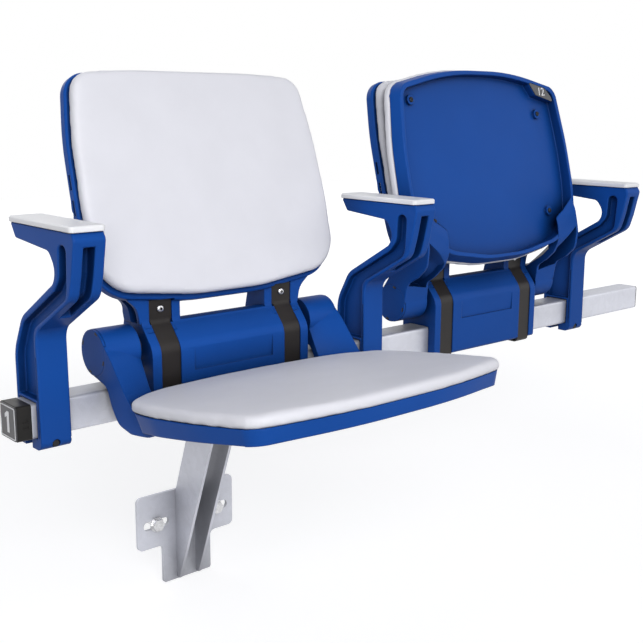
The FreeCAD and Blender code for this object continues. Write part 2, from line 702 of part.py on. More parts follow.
def pan_pieces(name, placement):
    pan_moulding(name, placement)
    soft = cushion(name + "_pan_cushion", grown(PAN_HALF, 2), size.pan_cushion, size.crown, 7, -1)
    keep(soft, name + "_pan_cushion", placement.multiply(at(0, 0, 0.1 - size.pan_top)))

    below = [placement.multiply(at(across, -reach, -size.pan_top - 10.1, FACING_DOWN)) for across, reach in BOSSES]
    group(name + "_pan_screws", pan_screw, below)

    caps, bushes = [], []
    for sign in SIDES.values():
        facing = Rotation(Y_AXIS, 90 * sign)
        caps.append(placement.multiply(at(sign * (size.hub_outer + 0.1), 0, 0, facing)))
        bushes.append(placement.multiply(at(sign * (size.housing_half + 0.4), 0, 0, facing)))
    group(name + "_hub_caps", hub_cap, caps)
    group(name + "_hub_bushes", hub_bush, bushes)

    plate_body = new_body(name + "_number_plate")
    centre = (sum(x for x, _, _ in NUMBER_SEAT) / 5, sum(y for _, y, _ in NUMBER_SEAT) / 5)
    outline = rounded([(centre[0] + 0.985 * (x - centre[0]), -centre[1] - 0.985 * (y - centre[1]), radius)
                       for x, y, radius in NUMBER_SEAT])
    pad(plate_body, "XY_Plane", outline, "-Sizes.pan_bottom", -size.pan_bottom + 1.3)
    keep(plate_body, name + "_number_plate", placement)


# Parts that several nodes repeat
strap_screw = screw("strap_screw_master", 5.5, 3.2, 2.5, 12.0)
pan_screw = screw("pan_screw_master", 4.6, 2.6, 2.2, 9.0)
hub_cap = new_body("hub_cap_master")
pad(hub_cap, "XY_Plane", ring(0, 0, size.hub_radius - 0.6), 0, 3.8)
hub_bush = new_body("hub_bush_master")
bore = size.axle_radius + size.running_gap
pad(hub_bush, "XY_Plane", ring(0, 0, size.bush_radius) + ring(0, 0, bore), 0, 66)

# The seats: the left one stands open, the right one folded
PAN_REST = {"left": size.open_tilt, "right": 90 + size.folded_lean}
for name, x in SEATS.items():
    back_moulding(name, x)
    back_cushion(name, x)
    straps(name, x)
    axle = new_body(name + "_axle")
    tube = ring(size.hinge_back, size.hinge_up, size.axle_radius)
    tube += ring(size.hinge_back, size.hinge_up, size.axle_radius - 2.5)
    pad(axle, "YZ_Plane", tube, "-Sizes.axle_half", "Sizes.axle_half")
    keep(axle, name + "_axle", beam_frame(x))
    pins = []
    pin = new_body(name + "_stop_pin_master")
    pad(pin, "YZ_Plane", ring(0, 0, 4), size.housing_half - 30, size.hub_inner + 7)
    for sign in SIDES.values():
        turn = Rotation(Z_AXIS, 0 if sign > 0 else 180)
        pins.append(beam_frame(x).multiply(at(0, size.hinge_back, size.hinge_up - 27, turn)))
    group(name + "_stop_pins", pin, pins)
    pan_pieces(name, hinge_frame(x, PAN_REST[name]))

# The wall bracket, in the part's frame
wall_plate = new_body("bracket_wall_plate")
plate_half = [
    (size.ear_half, size.ear_top, 9), (size.ear_half, size.ear_bottom, 9), (size.stem_half, size.ear_bottom, 9),
    (size.stem_half, size.stem_bottom, 4),
]
front_face = -size.plate_thick
pad(wall_plate, "XZ_Plane", rounded(both_sides(plate_half)), "-Sizes.plate_thick", 0)
slot_half = size.slot_width / 2
for sign in SIDES.values():
    centre = sign * size.slot_spacing / 2
    reach = size.slot_length / 2
    slot = box_outline(centre - reach, centre + reach, -slot_half, slot_half, slot_half - 0.01)
    pocket(wall_plate, "XZ_Plane", slot, front_face - 1, 1)
keep(wall_plate, "bracket_wall_plate")

# Two upright webs that lean from the wall plate to the saddle under the beam
beam_low = size.beam_top - side
saddle_thick = 6.0
web_top = beam_low - saddle_thick
WEB_OUTLINE = [
    (size.beam_front - 6, web_top, 0), (front_face - 8.5, -106, 0), (front_face, -106, 0), (front_face, 47, 0),
    (size.beam_front + 62, web_top, 0),
]
for name, sign in SIDES.items():
    web = new_body("bracket_web_" + name)
    near, far = sorted((sign * size.web_gap / 2, sign * (size.web_gap / 2 + size.web_thick)))
    pad(web, "YZ_Plane", rounded(WEB_OUTLINE), near, far)
    keep(web, "bracket_web_" + name)

saddle_plate = new_body("bracket_saddle_plate")
saddle_outline = box_outline(-46, 46, size.beam_front - 8, size.beam_front + 66, 6)
holes = ring(-saddle_bolt_across, size.beam_front + side / 2, 4.5)
holes += ring(saddle_bolt_across, size.beam_front + side / 2, 4.5)
pad(saddle_plate, "XY_Plane", saddle_outline + holes, web_top, beam_low)
keep(saddle_plate, "bracket_saddle_plate")

saddle_bolt = hex_bolt("saddle_bolt_master", 7.5, 5.3, 4.0, 20.0)
bolt_spots = [(sign * saddle_bolt_across, size.beam_front + side / 2) for sign in SIDES.values()]
group("bracket_saddle_bolts", saddle_bolt,
      [at(across, back, web_top - 0.1, FACING_DOWN) for across, back in bolt_spots])

# Wall bolts through the slots, with their washers
neck = size.plate_thick + 2.5
wall_bolt = hex_bolt("wall_bolt_master", size.wall_bolt_head, 7.5, size.wall_bolt_radius - 0.5, neck)
pad(wall_bolt, "XY_Plane", ring(0, 0, size.wall_bolt_radius), -neck - size.wall_stud_length, -neck)
wall_washer = washer("wall_washer_master", 12.5, size.wall_bolt_radius + 0.2, 2.0)
spots = [sign * size.slot_spacing / 2 for sign in SIDES.values()]
group("bracket_wall_bolts", wall_bolt, [at(across, front_face - 2.2, 0, FACING_FRONT) for across in spots])
group("bracket_wall_washers", wall_washer, [at(across, front_face - 0.1, 0, FACING_FRONT) for across in spots])

doc.recompute()
problems = [item.Name for item in doc.Objects if "Invalid" in item.State or "Error" in item.State]
if problems:
    raise RuntimeError("failed objects: " + ", ".join(problems))
for node in nodes:
    if node.Shape.isNull() or not node.Shape.isValid():
        raise RuntimeError("bad shape: " + node.Label)
    node.Shape.exportStep(f"parts/{node.Label}.step")
    print(node.Label, len(node.Shape.Solids), round(node.Shape.Volume), [round(v, 1) for v in (
        node.Shape.BoundBox.XMin, node.Shape.BoundBox.XMax, node.Shape.BoundBox.YMin, node.Shape.BoundBox.YMax,
        node.Shape.BoundBox.ZMin, node.Shape.BoundBox.ZMax)])
print(len(nodes), "nodes")
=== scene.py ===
import json
import math

import bmesh
import bpy
from mathutils import Matrix, Vector
from mathutils.bvhtree import BVHTree
from mathutils.geometry import convex_hull_2d


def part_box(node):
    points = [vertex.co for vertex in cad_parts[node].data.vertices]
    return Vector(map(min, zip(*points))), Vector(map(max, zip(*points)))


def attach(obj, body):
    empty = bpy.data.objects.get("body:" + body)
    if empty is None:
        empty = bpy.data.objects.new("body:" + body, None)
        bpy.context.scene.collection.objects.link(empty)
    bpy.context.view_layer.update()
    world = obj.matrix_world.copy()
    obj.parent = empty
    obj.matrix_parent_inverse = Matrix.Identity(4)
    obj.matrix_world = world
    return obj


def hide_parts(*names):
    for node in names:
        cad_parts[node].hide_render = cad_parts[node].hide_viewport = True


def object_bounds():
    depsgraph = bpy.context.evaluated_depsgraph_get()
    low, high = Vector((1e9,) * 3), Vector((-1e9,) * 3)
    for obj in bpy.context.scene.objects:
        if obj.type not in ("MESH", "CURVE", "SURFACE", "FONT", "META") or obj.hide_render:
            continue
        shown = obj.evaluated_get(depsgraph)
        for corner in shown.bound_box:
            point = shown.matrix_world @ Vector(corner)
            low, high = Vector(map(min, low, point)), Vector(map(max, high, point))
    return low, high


bl_info = {
    "name": "Stadium Seat Dressing",
    "version": (1, 0, 0),
    "blender": (4, 5, 0),
    "location": "View3D > Sidebar > Seat",
    "description": "Cushions, fixings, plates, finishes and a studio for a beam-mounted tip-up seat pair",
    "category": "Object",
}

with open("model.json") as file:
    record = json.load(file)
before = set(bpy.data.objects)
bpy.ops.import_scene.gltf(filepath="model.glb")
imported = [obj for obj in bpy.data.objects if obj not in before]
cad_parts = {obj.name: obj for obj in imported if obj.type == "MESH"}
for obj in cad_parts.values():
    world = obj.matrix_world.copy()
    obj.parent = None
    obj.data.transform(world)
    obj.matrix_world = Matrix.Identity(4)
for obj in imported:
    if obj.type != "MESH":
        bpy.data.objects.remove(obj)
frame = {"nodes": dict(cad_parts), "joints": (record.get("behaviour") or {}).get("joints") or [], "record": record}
cad_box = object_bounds()

# Metres from one seat to the next, and degrees that the open pan leans back
SEAT_STEP = 0.6
OPEN_TILT = 8.5

# The pan tray's floor and the end of the pan's arms, in the open pan's own axes
PAN_FLOOR = -0.080
ARMS_END = -0.120

# Points closer than this are one point, and edges that turn less than this look smooth
WELD = 1e-6
CREASE = math.radians(35)

# Radius, height and socket radius of the screw heads
STRAP_SCREW = (0.0055, 0.0032, 0.0024)
PAN_SCREW = (0.0046, 0.0026, 0.0020)

# Steps of a cushion's cloth simulation, and the smoothings of its cover afterwards
CLOTH_STEPS = 20
SMOOTHINGS = 4

# Axes by number
Y_AXIS = 1
Z_AXIS = 2

# The photo's camera: place, yaw, pitch and roll in degrees, focal length and sensor in millimetres
CAMERA_PLACE = (-0.8968, -1.3840, 0.6831)
CAMERA_TURN = (41.08, 11.89, 0.33)
PHOTO_FOCAL = 56.62
SENSOR_WIDTH = 36
CAMERA_CLIP = (0.05, 60)

# Name, place, width and power of the studio lamps, and the point that they face
LAMPS = (
    ("key", (-1.5, -3.2, 1.7), 2.0, 106),
    ("side", (-3.0, -0.7, 0.9), 1.6, 12),
    ("fill", (2.6, -2.4, 1.6), 2.6, 20),
    ("back", (0.2, 2.6, 2.4), 2.2, 16),
)
LAMP_AIM = (0.3, -0.1, 0.35)


# Colours and sizes that a user would change
class SeatColours(bpy.types.PropertyGroup):
    shell: bpy.props.FloatVectorProperty(
        name="Shell", description="Colour of the moulded shells and armrests", subtype="COLOR",
        default=(0.007, 0.070, 0.335), min=0, max=1)
    pad: bpy.props.FloatVectorProperty(
        name="Cushion", description="Colour of the padded covers", subtype="COLOR",
        default=(0.74, 0.74, 0.79), min=0, max=1)
    arm_pad: bpy.props.FloatVectorProperty(
        name="Arm pad", description="Colour of the armrest tops", subtype="COLOR",
        default=(0.88, 0.88, 0.90), min=0, max=1)
    steel: bpy.props.FloatVectorProperty(
        name="Galvanised steel", description="Colour of the beam and the bracket", subtype="COLOR",
        default=(0.64, 0.65, 0.71), min=0, max=1)
    strap: bpy.props.FloatVectorProperty(
        name="Strap", description="Colour of the clamp straps", subtype="COLOR",
        default=(0.016, 0.013, 0.012), min=0, max=1)
    plate: bpy.props.FloatVectorProperty(
        name="Plate", description="Colour of the number plates", subtype="COLOR",
        default=(0.045, 0.045, 0.048), min=0, max=1)


class SeatSizes(bpy.types.PropertyGroup):
    voxel: bpy.props.FloatProperty(
        name="Cushion mesh", description="Edge length of the cushions' faces", unit="LENGTH",
        default=0.0045, min=0.004, max=0.02)
    swell: bpy.props.FloatProperty(
        name="Swell", description="Furthest that a cushion's cover may move out", unit="LENGTH",
        default=0.0012, min=0, max=0.03)
    pressure: bpy.props.FloatProperty(
        name="Pressure", description="Air pressure inside a cushion while it is formed", default=4.0, min=0, max=20)
    arm_edge: bpy.props.FloatProperty(
        name="Armrest edge", description="Radius of the armrests' edges", unit="LENGTH",
        default=0.0022, min=0, max=0.004)
    shell_edge: bpy.props.FloatProperty(
        name="Shell edge", description="Radius of the back and pan mouldings' edges", unit="LENGTH",
        default=0.002, min=0, max=0.005)
    tray_radius: bpy.props.FloatProperty(
        name="Tray corner", description="Radius between the pan tray's wall and floor", unit="LENGTH",
        default=0.014, min=0.002, max=0.016)
    figure_height: bpy.props.FloatProperty(
        name="Figure height", description="Font size of the seat numbers", unit="LENGTH",
        default=0.022, min=0.005, max=0.03)
    figure_depth: bpy.props.FloatProperty(
        name="Figure depth", description="How far the figures stand off their plates", unit="LENGTH",
        default=0.0004, min=0, max=0.002)


def colours():
    return bpy.context.scene.seat_colours


def sizes():
    return bpy.context.scene.seat_sizes


def ranged(tree, value, source, target):
    """A node tree's value carried from one (low, high) range to another."""
    made = tree.nodes.new("ShaderNodeMapRange")
    for name, number in zip(("From Min", "From Max", "To Min", "To Max"), (*source, *target)):
        made.inputs[name].default_value = number
    tree.links.new(value, made.inputs["Value"])
    return made.outputs["Result"]


# Materials
class Finish:
    """A procedural material under construction."""

    def __init__(self, name):
        self.material = bpy.data.materials.new(name)
        self.material.use_nodes = True
        self.tree = self.material.node_tree
        self.shader = next(node for node in self.tree.nodes if node.type == "BSDF_PRINCIPLED")
        self.place = self.node("ShaderNodeTexCoord").outputs["Object"]

    def node(self, kind, **values):
        made = self.tree.nodes.new(kind)
        for name, value in values.items():
            setattr(made, name, value)
        return made

    def link(self, source, target):
        self.tree.links.new(source, target)

    def set(self, **values):
        for name, value in values.items():
            self.shader.inputs[name.replace("_", " ")].default_value = value

    def noise(self, scale, detail=4.0, stretch=(1, 1, 1)):
        mapping = self.node("ShaderNodeMapping")
        mapping.inputs["Scale"].default_value = stretch
        self.link(self.place, mapping.inputs["Vector"])
        made = self.node("ShaderNodeTexNoise")
        made.inputs["Scale"].default_value = scale
        made.inputs["Detail"].default_value = detail
        self.link(mapping.outputs["Vector"], made.inputs["Vector"])
        return made.outputs["Fac"]

    def cells(self, scale):
        made = self.node("ShaderNodeTexVoronoi")
        made.inputs["Scale"].default_value = scale
        self.link(self.place, made.inputs["Vector"])
        return made

    def ramp(self, value, low, high, start=0.3, end=0.7):
        made = self.node("ShaderNodeValToRGB")
        made.color_ramp.elements[0].position = start
        made.color_ramp.elements[1].position = end
        made.color_ramp.elements[0].color = (*low, 1)
        made.color_ramp.elements[1].color = (*high, 1)
        self.link(value, made.inputs["Fac"])
        return made.outputs["Color"]

    def vary(self, value, low, high):
        return ranged(self.tree, value, (0, 1), (low, high))

    def colour(self, value, base, spread):
        low = tuple(part * (1 - spread) for part in base)
        high = tuple(min(1, part * (1 + spread)) for part in base)
        self.link(self.ramp(value, low, high), self.shader.inputs["Base Color"])

    def paint_hollow_shade(self, reach, depth):
        """Painted shade: the base colour made darker by ambient occlusion in hollows that are up to a reach in
        metres wide, where shade falls.
        """
        closed, open_at = 0.35, 0.95
        target = self.shader.inputs["Base Color"]
        source = target.links[0].from_socket
        open_sky = self.node("ShaderNodeAmbientOcclusion", samples=8)
        open_sky.inputs["Distance"].default_value = reach
        shade = self.node("ShaderNodeMix", data_type="RGBA", blend_type="MULTIPLY")
        shade.inputs["Factor"].default_value = 1.0
        self.link(source, shade.inputs["A"])
        dark = (1 - depth,) * 3
        self.link(self.ramp(open_sky.outputs["AO"], dark, (1, 1, 1), closed, open_at), shade.inputs["B"])
        self.link(shade.outputs["Result"], target)

    def rough(self, value, low, high):
        self.link(self.vary(value, low, high), self.shader.inputs["Roughness"])

    def relief(self, layers, edge=0.0):
        """Bumps of (height value, strength, distance), over edges rounded by a radius in metres."""
        normal = None
        if edge:
            soft = self.node("ShaderNodeBevel", samples=6)
            soft.inputs["Radius"].default_value = edge
            normal = soft.outputs["Normal"]
        for value, strength, distance in layers:
            bump = self.node("ShaderNodeBump")
            bump.inputs["Strength"].default_value = strength
            bump.inputs["Distance"].default_value = distance
            self.link(value, bump.inputs["Height"])
            if normal:
                self.link(normal, bump.inputs["Normal"])
            normal = bump.outputs["Normal"]
        if normal:
            self.link(normal, self.shader.inputs["Normal"])


def moulded_blue():
    made = Finish("blue moulding")
    made.colour(made.noise(6, 3), tuple(colours().shell), 0.06)
    # Painted shade darkens the moulding's recesses, slots and tray corners.
    made.paint_hollow_shade(0.07, 0.75)
    made.rough(made.noise(40, 5), 0.36, 0.46)
    made.set(IOR=1.45, Specular_IOR_Level=0.1)
    made.relief([(made.noise(1400, 3), 0.10, 0.0004), (made.noise(9, 2), 0.06, 0.004)], 0.0025)
    return made.material


def padded_cover():
    made = Finish("padded cover")
    made.colour(made.noise(12, 4), tuple(colours().pad), 0.025)
    # Painted shade darkens the crevices between the cushions.
    made.paint_hollow_shade(0.035, 0.55)
    made.rough(made.noise(60, 4), 0.46, 0.58)
    made.set(Sheen_Weight=0.15, Sheen_Roughness=0.4)
    grain = made.cells(900)
    made.relief([(grain.outputs["Distance"], 0.10, 0.0004), (made.noise(22, 3), 0.10, 0.0015)])
    return made.material


def arm_pad_plastic():
    made = Finish("arm pad plastic")
    made.colour(made.noise(15, 3), tuple(colours().arm_pad), 0.02)
    made.rough(made.noise(50, 4), 0.36, 0.46)
    made.relief([(made.noise(900, 3), 0.10, 0.0004)], 0.002)
    return made.material


def galvanised():
    made = Finish("galvanised steel")
    spangle = made.cells(110)
    large = made.noise(9, 5, (0.35, 1, 1))
    tone = made.node("ShaderNodeMix", data_type="FLOAT")
    tone.inputs["Factor"].default_value = 0.88
    separate = made.node("ShaderNodeSeparateColor")
    made.link(spangle.outputs["Color"], separate.inputs["Color"])
    made.link(separate.outputs["Red"], tone.inputs["A"])
    made.link(large, tone.inputs["B"])
    made.colour(tone.outputs["Result"], tuple(colours().steel), 0.10)
    # Painted shade darkens the beam and bracket where the seats and armrests hang over them.
    made.paint_hollow_shade(0.10, 0.5)
    made.rough(tone.outputs["Result"], 0.42, 0.56)
    made.set(Metallic=0.55)
    made.relief([(made.noise(260, 5), 0.10, 0.0006), (made.noise(25, 3), 0.08, 0.002)], 0.0012)
    return made.material


def strap_coat():
    made = Finish("strap coat")
    made.colour(made.noise(18, 4), tuple(colours().strap), 0.25)
    # Painted shade darkens the strap where it lies in its recess.
    made.paint_hollow_shade(0.05, 0.7)
    made.rough(made.noise(60, 4), 0.34, 0.48)
    made.set(Specular_IOR_Level=0.25)
    made.relief([(made.noise(1100, 3), 0.18, 0.0004)], 0.001)
    return made.material


def dark_moulding(name, tint, rough_low, rough_high, grain):
    made = Finish(name)
    made.colour(made.noise(30, 4), tint, 0.2)
    made.rough(made.noise(80, 4), rough_low, rough_high)
    made.set(Specular_IOR_Level=0.2)
    made.relief([(made.noise(grain, 3), 0.2, 0.0004)], 0.0006)
    return made.material


def bright_zinc(name="bright zinc", rough=(0.2, 0.34)):
    made = Finish(name)
    made.colour(made.noise(160, 4), (0.62, 0.62, 0.63), 0.12)
    made.rough(made.noise(220, 5), *rough)
    made.set(Metallic=1.0)
    made.relief([(made.noise(1500, 3), 0.12, 0.0003)], 0.0004)
    return made.material


def plate_face():
    made = Finish("plate face")
    made.colour(made.noise(60, 4), tuple(colours().plate), 0.15)
    made.rough(made.noise(90, 4), 0.3, 0.42)
    made.relief([(made.noise(1200, 3), 0.12, 0.0003)], 0.0005)
    return made.material


FINISHES = {}


def finish_for(slot):
    """The material for a slot of the record, made once."""
    makers = {
        "blue_plastic": moulded_blue,
        "white_pad": padded_cover,
        "white_plastic": arm_pad_plastic,
        "galvanised_steel": galvanised,
        "black_strap": strap_coat,
        "black_plastic": lambda: dark_moulding("black plastic", (0.014, 0.013, 0.012), 0.35, 0.5, 900),
        "bright_screw": bright_zinc,
        "dark_screw": lambda: dark_moulding("dark screw", (0.02, 0.02, 0.022), 0.35, 0.5, 900),
        "black_rubber": lambda: dark_moulding("black rubber", (0.012, 0.012, 0.012), 0.6, 0.75, 700),
        "grey_plate": plate_face,
        "bearing_plastic": lambda: dark_moulding("bearing plastic", (0.03, 0.03, 0.034), 0.4, 0.52, 900),
        "plated_tube": lambda: bright_zinc("plated tube", (0.28, 0.42)),
    }
    if slot not in FINISHES:
        FINISHES[slot] = makers[slot]()
    return FINISHES[slot]


# Helpers for pieces
def add_piece(name, mesh, body, slot, *nodes, smooth=True):
    """Object of a finished bmesh, riding on a body and standing for the nodes."""
    data = bpy.data.meshes.new(name)
    mesh.to_mesh(data)
    mesh.free()
    piece = bpy.data.objects.new(name, data)
    bpy.context.scene.collection.objects.link(piece)
    if smooth:
        data.shade_smooth()
    data.materials.clear()
    data.materials.append(finish_for(slot))
    if nodes:
        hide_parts(*nodes)
    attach(piece, body)
    return piece


def merged_copy(node):
    """A bmesh copy of a CAD node with its loose triangles joined."""
    mesh = bmesh.new()
    mesh.from_mesh(frame["nodes"][node].data)
    bmesh.ops.remove_doubles(mesh, verts=mesh.verts, dist=WELD)
    return mesh


def flat_groups(mesh):
    """The mesh's faces in groups that lie in one plane and touch."""
    same_plane = 0.99995
    groups, seen = [], set()
    for first in mesh.faces:
        if first in seen:
            continue
        group, waiting = [], [first]
        seen.add(first)
        while waiting:
            face = waiting.pop()
            group.append(face)
            for edge in face.edges:
                for other in edge.link_faces:
                    if other not in seen and other.normal.dot(first.normal) > same_plane:
                        seen.add(other)
                        waiting.append(other)
        groups.append(group)
    return groups


def reach_from(points, edge):
    """How far a flat group's points extend from the line of one of its edges."""
    start, end = (vertex.co for vertex in edge.verts)
    line = (end - start).normalized()
    gaps = (point - start for point in points)
    return max((gap - line * gap.dot(line)).length for gap in gaps)


def softened(node, radius, crisp_at):
    """A bmesh copy of a CAD node with its edges rounded, but for those at a place that crisp_at names."""
    least_room = 4 * radius
    mesh = merged_copy(node)
    bmesh.ops.recalc_face_normals(mesh, faces=mesh.faces)
    points_of, inner = {}, []
    for group in flat_groups(mesh):
        corners = {vertex for face in group for vertex in face.verts}
        sides = {edge for face in group for edge in face.edges}
        points = [vertex.co.copy() for vertex in corners]
        points_of.update((face, points) for face in group)
        if len(corners) - len(sides) + len(group) == 1:
            members = set(group)
            inner += [edge for edge in sides if all(face in members for face in edge.link_faces)]
    chosen = []
    for edge in mesh.edges:
        middle = (edge.verts[0].co + edge.verts[1].co) / 2
        if edge.calc_face_angle(0) > CREASE and not crisp_at(middle):
            if min(reach_from(points_of[face], edge) for face in edge.link_faces) > least_room:
                chosen.append(edge)
    bmesh.ops.dissolve_edges(mesh, edges=inner, use_verts=False)
    bmesh.ops.bevel(mesh, geom=[edge for edge in chosen if edge.is_valid], offset=radius, offset_type="OFFSET",
                    segments=3, profile=0.5, affect="EDGES", clamp_overlap=False, loop_slide=False, material=-1)
    for edge in mesh.edges:
        edge.smooth = edge.calc_face_angle(0) < CREASE
    return mesh


def hinge(side):
    """The frame's joint of the left or right pan."""
    return next(joint for joint in frame["joints"] if joint["name"] == side + "_pan_hinge")


def pan_place():
    """The open left pan's own axes: x across, y back, z up from the hinge."""
    return Matrix.Translation(hinge("left")["pos_m"]) @ Matrix.Rotation(math.radians(-OPEN_TILT), 4, "X")


def islands(node):
    """The corners of each separate solid of a CAD node, as lists of points."""
    mesh = merged_copy(node)
    left = set(mesh.verts)
    groups = []
    while left:
        group, waiting = [], [left.pop()]
        while waiting:
            vertex = waiting.pop()
            group.append(vertex.co.copy())
            for edge in vertex.link_edges:
                other = edge.other_vert(vertex)
                if other in left:
                    left.remove(other)
                    waiting.append(other)
        groups.append(group)
    mesh.free()
    return groups


def middle_of(spots):
    """The x and y of the middle of a box round some spots."""
    return [(min(spot[n] for spot in spots) + max(spot[n] for spot in spots)) / 2 for n in (0, 1)]


def seat_of(points, place, head):
    """Where a screw head sits: centred on the points, head behind their furthest z in the place's own axes."""
    spots = [place.inverted() @ point for point in points]
    return place @ Matrix.Translation((*middle_of(spots), max(spot.z for spot in spots) - head))


def dome_screw(mesh, place, radius, height, socket):
    """Button head with a hexagonal socket, standing on the place's xy plane, added to the mesh."""
    edge_part, dome_part, socket_part = height * 0.3, height * 0.74, height * 0.6
    dome_width = radius * 0.9
    dome_turn = 0.8
    start = set(mesh.verts)
    ring = bmesh.ops.create_circle(mesh, cap_ends=True, segments=36, radius=radius)
    base = next(face for face in ring["verts"][0].link_faces)
    side = bmesh.ops.extrude_face_region(mesh, geom=[base])
    top = next(item for item in side["geom"] if isinstance(item, bmesh.types.BMFace))
    bmesh.ops.translate(mesh, verts=top.verts, vec=(0, 0, edge_part))
    steps = 6
    for step in range(steps):
        low, high = (math.pi / 2 * turn / steps * dome_turn for turn in (step, step + 1))
        bmesh.ops.inset_region(mesh, faces=[top], thickness=dome_width * (math.cos(low) - math.cos(high)),
                               depth=0, use_even_offset=True)
        bmesh.ops.translate(mesh, verts=top.verts, vec=(0, 0, dome_part * (math.sin(high) - math.sin(low))))
    level = top.verts[0].co.z
    outer = list(top.edges)
    bmesh.ops.delete(mesh, geom=[top], context="FACES_ONLY")
    hexagon = bmesh.ops.create_circle(mesh, cap_ends=False, segments=6, radius=socket)["verts"]
    bmesh.ops.translate(mesh, verts=hexagon, vec=(0, 0, level))
    inner = list({edge for vertex in hexagon for edge in vertex.link_edges})
    bmesh.ops.bridge_loops(mesh, edges=outer + inner)
    walls = bmesh.ops.extrude_edge_only(mesh, edges=inner)["geom"]
    deep = [item for item in walls if isinstance(item, bmesh.types.BMVert)]
    bmesh.ops.translate(mesh, verts=deep, vec=(0, 0, -socket_part))
    floor = [item for item in walls if isinstance(item, bmesh.types.BMEdge) and all(v in deep for v in item.verts)]
    bmesh.ops.contextual_create(mesh, geom=floor)
    made = [vertex for vertex in mesh.verts if vertex not in start]
    faces = {face for vertex in made for face in vertex.link_faces}
    bmesh.ops.recalc_face_normals(mesh, faces=list(faces))
    bmesh.ops.transform(mesh, matrix=place, verts=made)


def tray_dish(mesh, place, radius):
    """The pan tray's floor with a soft corner all round, added just off the flat floor of the copy."""
    near_floor = 2e-5
    gap = 0.0003
    inverse = place.inverted()
    spots = [inverse @ vertex.co for vertex in mesh.verts]
    spots = [spot for spot in spots if abs(spot.z - PAN_FLOOR) < near_floor]
    order = convex_hull_2d([spot.to_2d() for spot in spots])
    level = PAN_FLOOR - radius - gap
    corners = [mesh.verts.new(place @ Vector((spots[n].x, spots[n].y, level))) for n in reversed(order)]
    floor = mesh.faces.new(corners)
    floor.normal_update()
    rise = place.to_3x3() @ Vector((0, 0, 1))
    bmesh.ops.inset_region(mesh, faces=[floor], thickness=gap, use_even_offset=True)
    steps = 7
    for step in range(steps):
        low, high = (math.pi / 2 * turn / steps for turn in (step, step + 1))
        bmesh.ops.inset_region(mesh, faces=[floor], thickness=radius * (math.cos(low) - math.cos(high)),
                               use_even_offset=True)
        bmesh.ops.translate(mesh, verts=floor.verts, vec=rise * radius * (math.sin(high) - math.sin(low)))


def to_folded_right():
    """Motion that carries the left seat's open pan to the place of the right seat's folded one."""
    left, right = hinge("left"), hinge("right")
    turn = Matrix.Rotation(math.radians(-left["range_deg"][1]), 4, "X")
    return Matrix.Translation(Vector(right["pos_m"])) @ turn @ Matrix.Translation(-Vector(left["pos_m"]))


def apply_last(piece):
    """Make the newest modifier part of the piece's mesh."""
    bpy.ops.object.select_all(action="DESELECT")
    piece.select_set(True)
    bpy.context.view_layer.objects.active = piece
    bpy.ops.object.modifier_apply(modifier=piece.modifiers[-1].name)


def shade_by_area(piece):
    """Shading normals that keep flat faces flat beside their rounded edges."""
    shading = piece.modifiers.new("shading", "WEIGHTED_NORMAL")
    shading.weight = 80
    shading.keep_sharp = True
    apply_last(piece)


def cloth_formed(piece, pressure, furthest):
    """Blow a closed piece up as cloth, with no point moved further than a distance."""
    start = [vertex.co.copy() for vertex in piece.data.vertices]
    cloth = piece.modifiers.new("cloth", "CLOTH")
    cloth.settings.use_pressure = True
    cloth.settings.uniform_pressure_force = pressure
    cloth.settings.effector_weights.gravity = 0
    cloth.settings.quality = 5
    cloth.collision_settings.use_collision = False
    cloth.point_cache.frame_end = CLOTH_STEPS
    for step in range(1, CLOTH_STEPS + 1):
        bpy.context.scene.frame_set(step)
    apply_last(piece)
    bpy.context.scene.frame_set(1)
    for vertex, first in zip(piece.data.vertices, start):
        move = vertex.co - first
        if move.length > furthest:
            vertex.co = first + move.normalized() * furthest


def swollen(node, name, body, kept_axis):
    """A cushion formed from its CAD solid as cloth, and fitted to the solid's box but along one axis."""
    values = sizes()
    mesh = merged_copy(node)
    bmesh.ops.recalc_face_normals(mesh, faces=mesh.faces)
    surface = BVHTree.FromBMesh(mesh)
    piece = add_piece(name, mesh, body, "white_pad", node)
    remesh = piece.modifiers.new("remesh", "REMESH")
    remesh.mode = "VOXEL"
    remesh.voxel_size = values.voxel
    apply_last(piece)
    for vertex in piece.data.vertices:
        vertex.co = surface.find_nearest(vertex.co)[0]
    cloth_formed(piece, values.pressure, values.swell)
    smooth = piece.modifiers.new("smooth", "SMOOTH")
    smooth.factor = 0.5
    smooth.iterations = SMOOTHINGS
    apply_last(piece)
    fine = piece.modifiers.new("fine", "SUBSURF")
    fine.levels = fine.render_levels = 1
    apply_last(piece)
    fill_box(piece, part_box(node), kept_axis)
    piece.data.shade_smooth()
    return piece


def fill_box(piece, box, kept_axis):
    """Scale a piece to a box, given by its lowest and highest corner, but leave one axis as it is."""
    corners = [vertex.co for vertex in piece.data.vertices]
    low = Vector(min(corner[n] for corner in corners) for n in range(3))
    high = Vector(max(corner[n] for corner in corners) for n in range(3))
    scale = [(box[1][n] - box[0][n]) / (high[n] - low[n]) for n in range(3)]
    scale[kept_axis] = 1
    middle = (low + high) / 2
    target = (box[0] + box[1]) / 2
    target[kept_axis] = middle[kept_axis]
    piece.data.transform(Matrix.Translation(target) @ Matrix.Diagonal((*scale, 1)) @ Matrix.Translation(-middle))


def press(piece, other, motion):
    """Squash a piece's cover just enough to clear another piece that it meets after a motion."""
    surface = BVHTree.FromPolygons([vertex.co for vertex in other.data.vertices],
                                   [face.vertices for face in other.data.polygons])
    clearance = 0.0002
    reach = 0.006
    back = motion.inverted()
    for vertex in piece.data.vertices:
        turned = motion @ vertex.co
        spot, normal, _, _ = surface.find_nearest(turned, reach)
        if spot is not None:
            depth = clearance - (turned - spot).dot(normal)
            if depth > 0:
                vertex.co = back @ (turned + normal * depth)


def moved_copy(piece, name, body, slot, node, motion):
    """The same piece at another place."""
    mesh = bmesh.new()
    mesh.from_mesh(piece.data)
    bmesh.ops.transform(mesh, matrix=motion, verts=mesh.verts)
    return add_piece(name, mesh, body, slot, *([node] if node else []))


